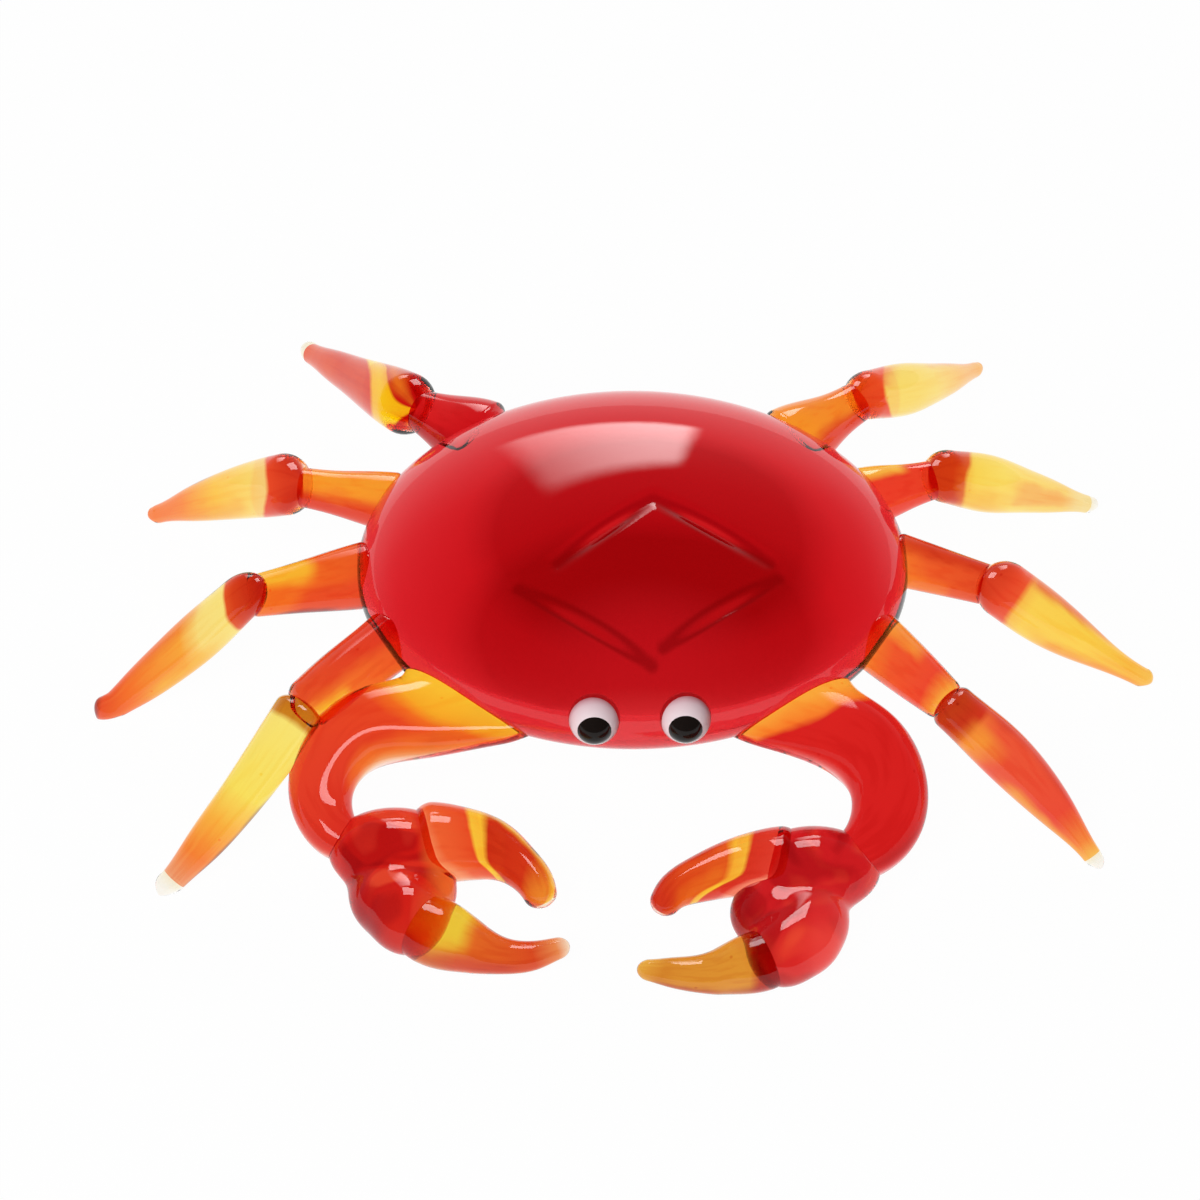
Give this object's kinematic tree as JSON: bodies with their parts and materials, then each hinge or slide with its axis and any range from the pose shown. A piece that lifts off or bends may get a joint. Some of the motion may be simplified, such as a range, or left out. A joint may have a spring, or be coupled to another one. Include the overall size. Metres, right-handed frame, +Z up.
{
  "type": "crab figurine",
  "caption": "Free-standing ornament of a crab in translucent glass: lens-shaped shell, jointed walking legs, curved arms with pincers, bead eyes.",
  "frame": {"origin": "centre of the figure's outline seen from above, on the surface it stands on", "axes": "+X to the right as seen from the crab's front, along the leg span; +Y to the rear; +Z up"},
  "size_m": [0.1181, 0.0951, 0.025],
  "materials": {
    "red_glass": "polished",
    "orange_glass": "polished",
    "amber_glass": "polished",
    "clear_glass": "polished",
    "white_glass": "polished",
    "black_glass": "polished"
  },
  "bodies": {
    "root": {"arm_left": "red_glass", "arm_right": "red_glass", "back_finger_left": "amber_glass", "back_finger_right": "amber_glass", "eye_white_left": "white_glass", "eye_white_right": "white_glass", "foot_drop_front_left": "clear_glass", "foot_drop_front_right": "clear_glass", "foot_drop_mid_rear_right": "clear_glass", "foot_drop_rear_left": "clear_glass", "front_finger_left": "amber_glass", "front_finger_right": "amber_glass", "lower_leg_front_left": "amber_glass", "lower_leg_front_right": "amber_glass", "lower_leg_mid_front_left": "amber_glass", "lower_leg_mid_front_right": "amber_glass", "lower_leg_mid_rear_left": "amber_glass", "lower_leg_mid_rear_right": "amber_glass", "lower_leg_rear_left": "amber_glass", "lower_leg_rear_right": "amber_glass", "palm_left": "red_glass", "palm_right": "red_glass", "pupil_left": "black_glass", "pupil_right": "black_glass", "shell": "red_glass", "upper_leg_front_left": "orange_glass", "upper_leg_front_right": "orange_glass", "upper_leg_mid_front_left": "orange_glass", "upper_leg_mid_front_right": "orange_glass", "upper_leg_mid_rear_left": "orange_glass", "upper_leg_mid_rear_right": "orange_glass", "upper_leg_rear_left": "orange_glass", "upper_leg_rear_right": "orange_glass"}
  },
  "joints": []
}
